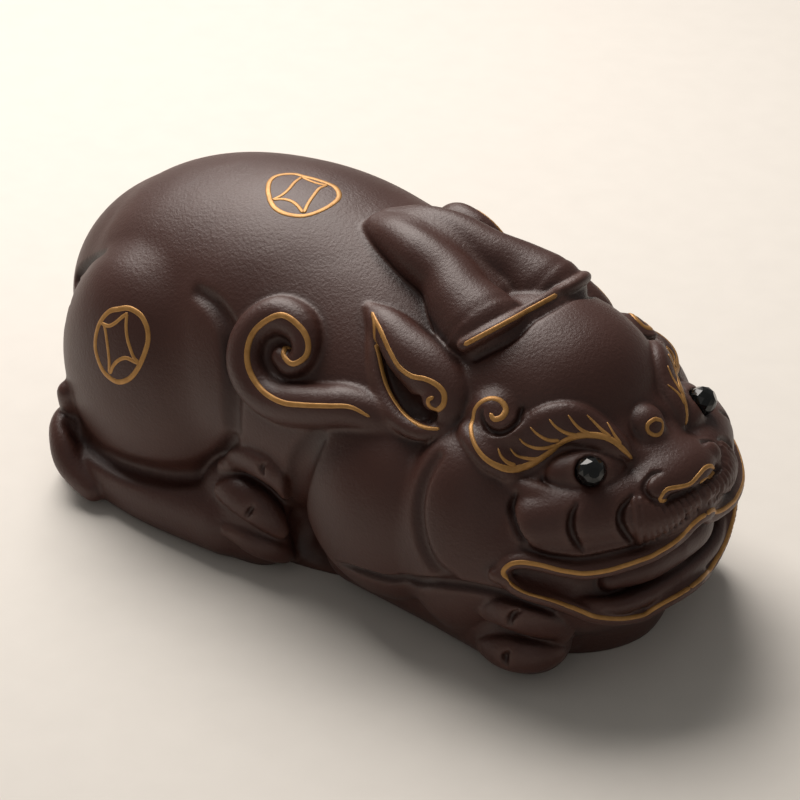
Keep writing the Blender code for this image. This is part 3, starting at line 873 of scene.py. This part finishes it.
def gold(clay, name, lines, material, sides=BOTH_SIDES):
    """All the strokes of one kind, on one or both sides of the beast, as one piece."""
    points, faces = [], []
    start = 0
    for line, widths in lines:
        line_points, line_faces = tape(clay, np.array(line, float), widths)
        for side in sides:
            points.append(line_points * (1, side, 1))
            order = 1 if side == 1 else -1
            faces += [tuple(start + k for k in f)[::order] for f in line_faces]
            start += len(line_points)
    return piece(name, np.vstack(points), faces, material)


def stroke(clay, pixels, widths):
    """One stroke through pixels of the photograph, with its width or widths in mm."""
    return clay.seen(pixels), widths


SCROLL_WIDTHS = [0.7, 0.8, 0.8, 0.85] + [0.9] * 7 + [0.85, 0.85, 0.8, 0.75, 0.65, 0.4]
EAR_RIM_WIDTHS = [0.5, 0.7] + [0.8] * 5 + [0.75, 0.5]
EAR_FOLD_WIDTHS = [0.5, 0.8, 0.85, 0.9, 0.8, 0.75, 0.8, 0.85, 0.85, 0.8, 0.75, 0.7, 0.6]
BROW_WIDTHS = [0.6, 0.8, 0.9, 0.9, 0.9, 0.85, 0.85, 0.8, 0.7, 0.65, 0.7, 0.8, 1.0, 1.1, 1.1, 1.0,
               0.95, 0.95, 0.95, 0.95, 0.95, 0.9, 0.8, 0.5]


def paint_lines(clay, material):
    """The gold on both sides of the beast, and what is there once, as the photograph shows it."""
    upper_lip, lower_lip = lip_lines(clay)
    both = {
        "gold_scrolls": [stroke(clay, SCROLL_LINE, SCROLL_WIDTHS)],
        "gold_ears": [stroke(clay, EAR_RIM_LINE, EAR_RIM_WIDTHS),
                      stroke(clay, EAR_FOLD_LINE, EAR_FOLD_WIDTHS)],
        "gold_brows": [stroke(clay, BROW_LINE, BROW_WIDTHS)]
        + [stroke(clay, line, np.linspace(0.25, 0.7, len(line))) for line in BROW_STROKES],
        "gold_lips": [(np.vstack([lower_lip[::-1], upper_lip[1:]]), 0.72)],
        "gold_haunch_coins": [stroke(clay, COIN_RIM, 0.85)]
        + [stroke(clay, line, 0.62) for line in COIN_STROKES],
    }
    once = {
        "gold_collar": [stroke(clay, between(COLLAR_OUTER, COLLAR_INNER, 12), 0.8)],
        "gold_nose": [stroke(clay, NOSE_LINE, 0.65)],
        "gold_back_coin": [stroke(clay, BACK_COIN_RIM, 0.85)]
        + [stroke(clay, line, 0.65) for line in BACK_COIN_STROKES],
        "gold_brow_ring": [stroke(clay, BALL_RING, 0.6)],
    }
    for name, strokes in both.items():
        gold(clay, name, strokes, material)
    for name, strokes in once.items():
        gold(clay, name, strokes, material, sides=NEAR_SIDE)


# Light, floor and camera

FLOOR = 1.5                  # half the floor's width, metres
LAMPS = (("window", (-0.30, 0.14, 0.42), 0.42, 1.85),
         ("fill", (0.35, -0.50, 0.30), 0.50, 0.08))   # name, place and size in metres, watts
LAMP_COLOUR = "#fff8f2"
LAMP_SPREAD = np.radians(115)  # a grid on each lamp keeps its light off the far floor
LAMP_AIM = Vector((0, 0, 0.02))
ROOM_COLOUR = "#f2efea"
ROOM_LIGHT = 0.20            # strength of the even light from all round


def studio():
    """A pale floor, a soft window lamp behind the beast and a weak fill in front, both with a grid."""
    floor = bpy.data.meshes.new("floor")
    corners = [(-FLOOR, -FLOOR, 0), (FLOOR, -FLOOR, 0), (FLOOR, FLOOR, 0), (-FLOOR, FLOOR, 0)]
    floor.from_pydata(corners, [], [(0, 1, 2, 3)])
    floor.materials.append(matt_white_board())
    ground = bpy.data.objects.new("floor", floor)
    bpy.context.scene.collection.objects.link(ground)
    for name, place, size, power in LAMPS:
        lamp = bpy.data.lights.new(name, "AREA")
        lamp.size = size
        lamp.energy = power
        lamp.spread = LAMP_SPREAD
        lamp.color = linear(LAMP_COLOUR)[:3]
        made = bpy.data.objects.new(name, lamp)
        made.location = place
        made.rotation_euler = (Vector(place) - LAMP_AIM).to_track_quat("Z", "Y").to_euler()
        bpy.context.scene.collection.objects.link(made)
    world = bpy.data.worlds.new("studio")
    bpy.context.scene.world = world
    world.use_nodes = True
    back = world.node_tree.nodes["Background"]
    back.inputs["Color"].default_value = linear(ROOM_COLOUR)
    back.inputs["Strength"].default_value = ROOM_LIGHT


def camera():
    """The photograph's viewpoint."""
    back = Vector(view_axes()[0])
    lens = bpy.data.cameras.new("photo_view")
    lens.sensor_width = VIEW_SENSOR
    lens.lens = VIEW_LENS
    view = bpy.data.objects.new("photo_view", lens)
    view.location = Vector(placed(VIEW_TARGET)) + back * VIEW_DISTANCE * MM
    view.rotation_euler = back.to_track_quat("Z", "Y").to_euler()
    bpy.context.scene.collection.objects.link(view)
    bpy.context.scene.camera = view


camera()
studio()
CLAY = model_beast()
beast_mesh(CLAY, fired_purple_clay())
GLASS = faceted_black_glass()
eye_bead(1, "left_eye_bead", GLASS)
eye_bead(-1, "right_eye_bead", GLASS)
paint_lines(CLAY, brushed_gold_paint())

bpy.context.scene.view_settings.view_transform = "Standard"
